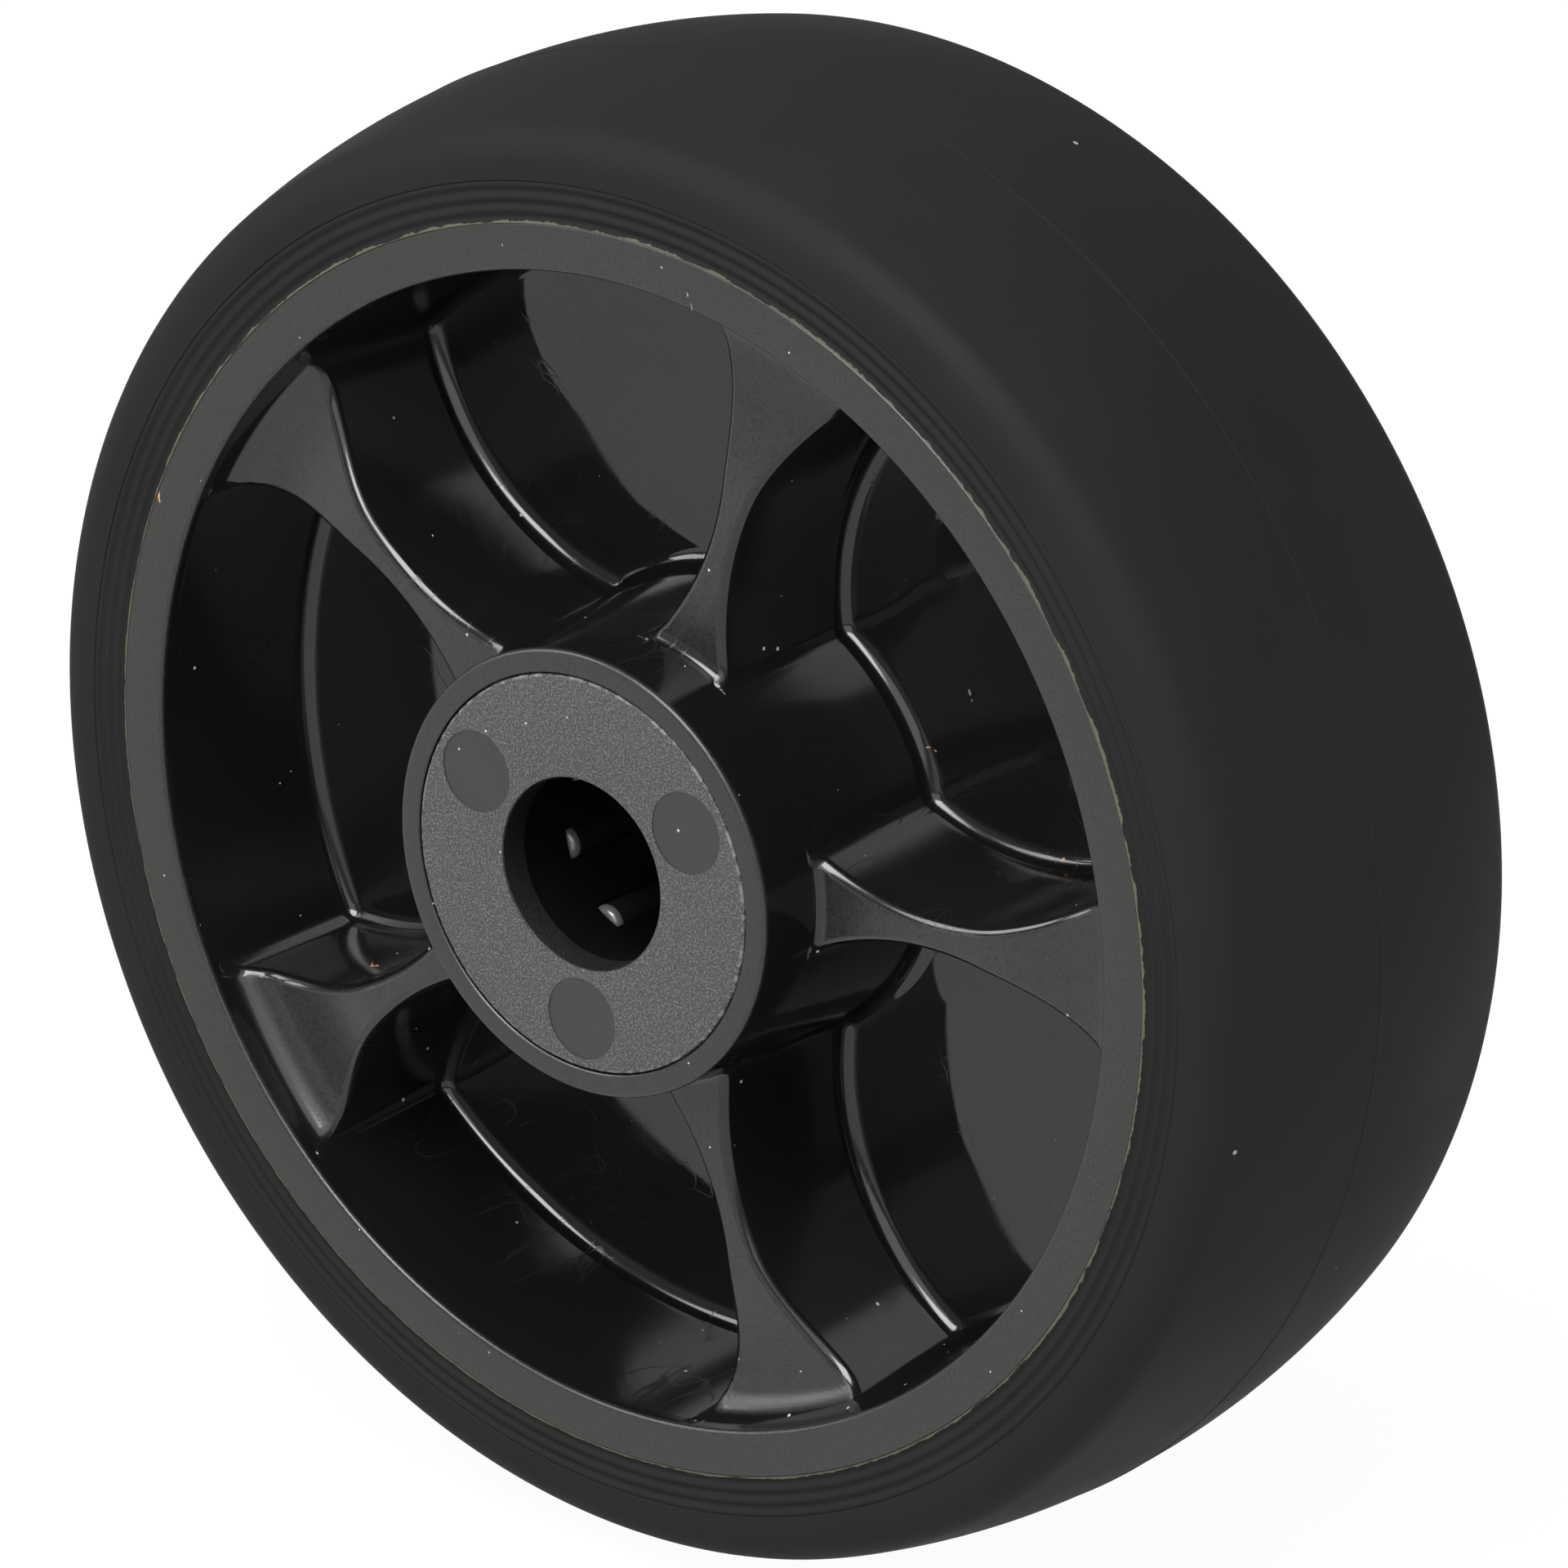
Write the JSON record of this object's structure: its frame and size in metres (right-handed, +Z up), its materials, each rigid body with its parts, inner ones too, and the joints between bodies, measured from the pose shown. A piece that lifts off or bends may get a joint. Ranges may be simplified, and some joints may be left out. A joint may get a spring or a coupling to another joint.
{
  "type": "rubber trolley wheel",
  "caption": "Trolley wheel with a black rubber tyre on a spoked moulded plastic centre, a caged roller bearing for a plain axle, and a cap pressed into each hub face",
  "frame": {"origin": "middle of the wheel, on the axle line, halfway between the two hub faces", "axes": "+Y along the axle from the front face to the back face, +Z up, +X to the right seen from the front"},
  "size_m": [0.1602, 0.062, 0.1602],
  "materials": {
    "tyre": "matte black moulded rubber with fine ridges and a thin flash line at the rim",
    "centre": "glossy black moulded plastic with fine scratches and dust specks",
    "cap": "grainy spark-eroded black plastic with smooth round ejector marks",
    "cage": "plain black moulded plastic",
    "roller": "ground bearing steel, lightly greased"
  },
  "bodies": {
    "wheel": {"tyre": "tyre", "wheel_centre": "centre", "end_cap_front": "cap", "end_cap_back": "cap"},
    "cage": {"roller_cage": "cage"},
    "roller_1": {"roller_1": "roller"},
    "roller_2": {"roller_2": "roller"},
    "roller_3": {"roller_3": "roller"},
    "roller_4": {"roller_4": "roller"},
    "roller_5": {"roller_5": "roller"},
    "roller_6": {"roller_6": "roller"},
    "roller_7": {"roller_7": "roller"},
    "roller_8": {"roller_8": "roller"}
  },
  "joints": [
    {"name": "cage_spin", "type": "hinge", "parent": "wheel", "child": "cage", "pos_m": [0, 0, 0], "axis": [0, 1, 0], "continuous": true},
    {"name": "roller_1_spin", "type": "hinge", "parent": "cage", "child": "roller_1", "pos_m": [0.00318, 0, -0.01188], "axis": [0, 1, 0], "continuous": true},
    {"name": "roller_2_spin", "type": "hinge", "parent": "cage", "child": "roller_2", "pos_m": [-0.00615, 0, -0.01065], "axis": [0, 1, 0], "continuous": true},
    {"name": "roller_3_spin", "type": "hinge", "parent": "cage", "child": "roller_3", "pos_m": [-0.01188, 0, -0.00318], "axis": [0, 1, 0], "continuous": true},
    {"name": "roller_4_spin", "type": "hinge", "parent": "cage", "child": "roller_4", "pos_m": [-0.01065, 0, 0.00615], "axis": [0, 1, 0], "continuous": true},
    {"name": "roller_5_spin", "type": "hinge", "parent": "cage", "child": "roller_5", "pos_m": [-0.00318, 0, 0.01188], "axis": [0, 1, 0], "continuous": true},
    {"name": "roller_6_spin", "type": "hinge", "parent": "cage", "child": "roller_6", "pos_m": [0.00615, 0, 0.01065], "axis": [0, 1, 0], "continuous": true},
    {"name": "roller_7_spin", "type": "hinge", "parent": "cage", "child": "roller_7", "pos_m": [0.01188, 0, 0.00318], "axis": [0, 1, 0], "continuous": true},
    {"name": "roller_8_spin", "type": "hinge", "parent": "cage", "child": "roller_8", "pos_m": [0.01065, 0, -0.00615], "axis": [0, 1, 0], "continuous": true}
  ],
  "couplings": [
    {"joint": "roller_1_spin", "follows": "cage_spin", "ratio": -7.15},
    {"joint": "roller_2_spin", "follows": "cage_spin", "ratio": -7.15},
    {"joint": "roller_3_spin", "follows": "cage_spin", "ratio": -7.15},
    {"joint": "roller_4_spin", "follows": "cage_spin", "ratio": -7.15},
    {"joint": "roller_5_spin", "follows": "cage_spin", "ratio": -7.15},
    {"joint": "roller_6_spin", "follows": "cage_spin", "ratio": -7.15},
    {"joint": "roller_7_spin", "follows": "cage_spin", "ratio": -7.15},
    {"joint": "roller_8_spin", "follows": "cage_spin", "ratio": -7.15}
  ]
}
